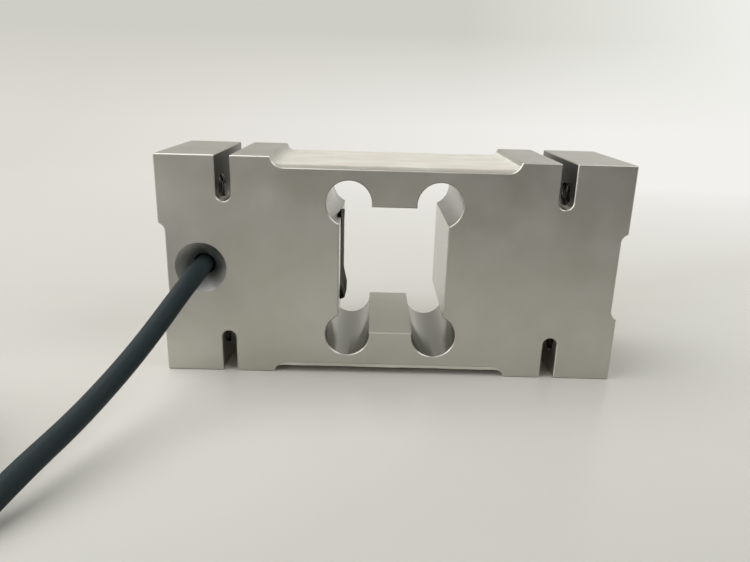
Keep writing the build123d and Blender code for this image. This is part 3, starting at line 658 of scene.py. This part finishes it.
def cable(material):
    """The whole cable as one smooth line: the free run, the coil and the tail."""
    points = [*CABLE_ROUTE, *coil_points().tolist(), *TAIL_ROUTE]
    data = bpy.data.curves.new("signal_cable", "CURVE")
    data.dimensions = "3D"
    spline = data.splines.new("NURBS")
    spline.points.add(len(points) - 1)
    for place, point in zip(spline.points, points):
        place.co = (*[c * MM for c in point], 1)
    spline.order_u = 3
    spline.use_endpoint_u = True
    spline.resolution_u = 6
    data.bevel_depth = CABLE_RADIUS * MM
    data.bevel_resolution = 8
    data.use_fill_caps = True
    data.materials.append(material)
    made = bpy.data.objects.new("signal_cable", data)
    bpy.context.scene.collection.objects.link(made)
    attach(made, "root")
    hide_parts("cable_run", "cable_coil", "cable_tail")
    return made


def camera():
    """The photograph's camera, from its place and turn."""
    view = bpy.data.cameras.new("camera")
    view.sensor_width = SENSOR_WIDTH
    view.lens = FOCAL_PIXELS * SENSOR_WIDTH / PICTURE_WIDTH
    view.clip_start = 0.01
    eye = bpy.data.objects.new("camera", view)
    bpy.context.scene.collection.objects.link(eye)
    right = Vector((cos(CAMERA_YAW), sin(CAMERA_YAW), 0))
    ahead_flat = Vector((-sin(CAMERA_YAW), cos(CAMERA_YAW), 0))
    ahead = ahead_flat * cos(CAMERA_PITCH) + Vector((0, 0, sin(CAMERA_PITCH)))
    up = right.cross(ahead)
    side = right * cos(CAMERA_ROLL) + up * sin(CAMERA_ROLL)
    top = up * cos(CAMERA_ROLL) - right * sin(CAMERA_ROLL)
    turn = Matrix((side, top, -ahead)).transposed()
    eye.matrix_world = Matrix.Translation(Vector(CAMERA_PLACE) * MM) @ turn.to_4x4()
    bpy.context.scene.camera = eye


def studio_paper():
    """Pale coated sheet under and behind the cell: warm white with a soft gloss.

    A slow broad stripe of grey crosses it as a painted shadow, a paler patch of painted light lies near
    the cable entry, and it turns greyer towards the front, outside the view, as painted shade. Far
    behind the cell it shows as a pale backdrop that glows with painted light and shade, greyer at the
    left and above, and nearly white at the right.
    """
    material, tree = new_material("pale_coated_sheet")
    x, y, z = add(tree, "SeparateXYZ", [places(tree, 1.0)]).outputs

    # the grey stripe is a painted shadow, and it runs aslant
    slant = add(tree, "Math", [x, -0.62], operation="MULTIPLY")
    lean = add(tree, "Math", [y, slant], operation="ADD")
    rise = add(tree, "MapRange", [lean, -40.0, 5.0])
    fall = add(tree, "MapRange", [lean, 5.0, 60.0, 1.0, 0.0])
    painted_shadow_band = add(tree, "Math", [rise, fall], operation="MULTIPLY")
    banded = {0: painted_shadow_band, 6: linear("#CFCEC8"), 7: linear("#C9C7BF")}
    banded = add(tree, "Mix", banded, data_type="RGBA").outputs[2]

    # the paler patch is painted light; it is round, and fades out 80 mm from its middle
    ground = add(tree, "CombineXYZ", [x, y])
    away = add(tree, "VectorMath", [ground, (-75.0, -50.0, 0.0)], operation="DISTANCE").outputs["Value"]
    painted_light_spot = add(tree, "MapRange", [away, 10.0, 80.0, 0.55, 0.0])
    spotted = add(tree, "Mix", {0: painted_light_spot, 6: banded, 7: linear("#E0DFDA")}, data_type="RGBA").outputs[2]

    # the front darkens over 340 mm, as painted shade
    lag = add(tree, "Math", [x, 0.15], operation="MULTIPLY")
    reach = add(tree, "Math", [y, lag], operation="SUBTRACT")
    front = add(tree, "MapRange", [reach, -400.0, -60.0, 1.0, 0.0])
    colour = add(tree, "Mix", {0: front, 6: spotted, 7: linear("#767571")}, data_type="RGBA").outputs[2]
    swell = add(tree, "TexNoise", {"Vector": places(tree, 60.0), "Scale": 1.0, "Detail": 1.0})
    bump = add(tree, "Bump", {"Height": swell, "Distance": 0.05 * MM})
    sockets = {"Base Color": colour, "Roughness": 0.25, "Specular IOR Level": 0.5, "Normal": bump}
    sheet = add(tree, "BsdfPrincipled", sockets)

    # the backdrop's colour low down, higher up and at its top, painted light and shade that glows
    across = add(tree, "MapRange", [x, -400.0, 280.0])
    low = {0: across, 6: linear("#DDDAD3"), 7: linear("#F2F1ED")}
    low = add(tree, "Mix", low, data_type="RGBA").outputs[2]
    rightwards = add(tree, "MapRange", [x, 120.0, 560.0])
    high = {0: rightwards, 6: linear("#CFCEC6"), 7: linear("#F0F1EC")}
    high = add(tree, "Mix", high, data_type="RGBA").outputs[2]
    widely = add(tree, "MapRange", [x, -300.0, 300.0])
    top = {0: widely, 6: linear("#94928B"), 7: linear("#D2D1CC")}
    top = add(tree, "Mix", top, data_type="RGBA").outputs[2]
    to_high = add(tree, "MapRange", [z, 40.0, 160.0])
    risen = add(tree, "Mix", {0: to_high, 6: low, 7: high}, data_type="RGBA").outputs[2]
    to_top = add(tree, "MapRange", [z, 260.0, 520.0])
    backdrop = add(tree, "Mix", {0: to_top, 6: risen, 7: top}, data_type="RGBA").outputs[2]
    glow = add(tree, "Emission", {"Color": backdrop, "Strength": 1.0})

    # it shows far behind the cell, to the camera, in gloss and through glass
    rays = add(tree, "LightPath").outputs
    seen = add(tree, "Math", [rays["Is Camera Ray"], rays["Is Glossy Ray"]], operation="MAXIMUM")
    shown = add(tree, "Math", [seen, rays["Is Transmission Ray"]], operation="MAXIMUM")
    behind = add(tree, "MapRange", [y, 60.0, 420.0])
    far = add(tree, "Math", [behind, shown], operation="MULTIPLY")
    add(tree, "OutputMaterial", [add(tree, "MixShader", [far, sheet, glow])])
    return material


def paper_sweep(material):
    """Floor that turns up behind the cell: a flat run, a quarter circle and an upright, carried along X."""
    front, back, bend, top, half = -1500.0, 450.0, 350.0, 1500.0, 1600.0
    turn = np.linspace(0, pi / 2, 40)
    profile_y = np.concatenate([np.linspace(front, back, 30), back + bend * np.sin(turn[1:]), [back + bend]])
    profile_z = np.concatenate([np.zeros(30), bend * (1 - np.cos(turn[1:])), [top]])
    x = np.linspace(-half, half, 12)
    grid = np.stack(np.broadcast_arrays(x[None, :], profile_y[:, None], profile_z[:, None]), axis=-1)
    data = bpy.data.meshes.new("paper_sweep")
    data.from_pydata((grid.reshape(-1, 3) * MM).tolist(), [], [f[::-1] for f in quads(*grid.shape[:2])])
    data.shade_smooth()
    data.materials.append(material)
    sweep = bpy.data.objects.new("paper_sweep", data)
    bpy.context.scene.collection.objects.link(sweep)


def soft_lamp(name, place, aim, size, power):
    """Square area lamp that faces a point, in millimetres and watts."""
    lamp = bpy.data.lights.new(name, "AREA")
    lamp.size = size * MM
    lamp.energy = power
    stand = bpy.data.objects.new(name, lamp)
    bpy.context.scene.collection.objects.link(stand)
    facing = (Vector(aim) - Vector(place)).to_track_quat("-Z", "Y")
    stand.matrix_world = Matrix.Translation(Vector(place) * MM) @ facing.to_matrix().to_4x4()


def room():
    """Plain studio round the sheet: bright at the left, dim at the right and behind the camera."""
    world = bpy.data.worlds.new("studio_room")
    bpy.context.scene.world = world
    world.use_nodes = True
    tree = world.node_tree
    tree.nodes.clear()
    towards = add(tree, "TexCoord").outputs["Generated"]
    across, deep, high = add(tree, "SeparateXYZ", [towards]).outputs
    to_right = add(tree, "MapRange", [across, -0.8, 0.8])
    sides = {0: to_right, 6: linear("#FAF8F3"), 7: linear("#8E8C86")}
    sides = add(tree, "Mix", sides, data_type="RGBA").outputs[2]
    behind_right = add(tree, "MapRange", [across, -0.45, 0.45])
    behind = {0: behind_right, 6: linear("#9F9E99"), 7: linear("#4C4F50")}
    behind = add(tree, "Mix", behind, data_type="RGBA").outputs[2]
    to_far = add(tree, "MapRange", [deep, -0.3, 0.3])
    above = {0: to_far, 6: linear("#7B7A76"), 7: linear("#C4C3BE")}
    above = add(tree, "Mix", above, data_type="RGBA").outputs[2]
    forwards = add(tree, "MapRange", [deep, -0.8, -0.1])
    walls = add(tree, "Mix", {0: forwards, 6: behind, 7: sides}, data_type="RGBA").outputs[2]
    upwards = add(tree, "MapRange", [high, 0.3, 0.8])
    light = add(tree, "Mix", {0: upwards, 6: walls, 7: above}, data_type="RGBA").outputs[2]
    add(tree, "OutputWorld", [add(tree, "Background", {"Color": light, "Strength": 1.12})])


def dress(materials):
    """Give each CAD node that stays its material."""
    for node, material in materials.items():
        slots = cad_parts[node].data.materials
        slots.clear()
        slots.append(material)


metal = satin_milled_aluminium()
silicone = brushed_silicone()
compound = poured_compound()
jacket = extruded_jacket()
nylon = moulded_nylon()
sleeve = shrunk_sleeve()
board = soldered_board()
chips = chip_ceramic()
film = etched_gauge_film()
tinned = drawn_metal("tinned_copper_strand", "#A9A69F", "#D2D0CA", 0.3)
copper = drawn_metal("enamelled_copper_wire", "#8A4420", "#B3652F", 0.28)
cores = {
    "red": extruded_core("red_core_insulation", "#B3231F"),
    "black": extruded_core("black_core_insulation", "#191A1B"),
    "green": extruded_core("green_core_insulation", "#1F7A3F"),
    "white": extruded_core("white_core_insulation", "#DCDBD5"),
}

camera()
room()
paper_sweep(studio_paper())
for name, (place, aim, size, power) in LAMPS.items():
    soft_lamp(name, place, aim, size, power)

cable_tie(nylon)
cable(jacket)
sealing_coat("gauge_coat_top", 1, silicone)
sealing_coat("gauge_coat_bottom", -1, silicone)
pocket_sealant(compound)
bolt_threads(tapped_aluminium())

dressed = {"load_cell_body": metal, "entry_seal": compound, "end_sleeve": sleeve, "drain_wire": tinned,
           "tinned_tips": tinned, "trim_board": board, "trim_resistors": chips}
for level in ("top", "bottom"):
    dressed[f"solder_strip_{level}"] = board
    dressed[f"gauge_wires_{level}"] = copper
    dressed[f"riser_wires_{level}"] = copper
    for end in ("left", "right"):
        dressed[f"strain_gauge_{level}_{end}"] = film
for colour, insulation in cores.items():
    dressed[f"core_{colour}"] = insulation
    dressed[f"inner_core_{colour}"] = insulation
dress(dressed)

bpy.context.scene.view_settings.view_transform = "Standard"
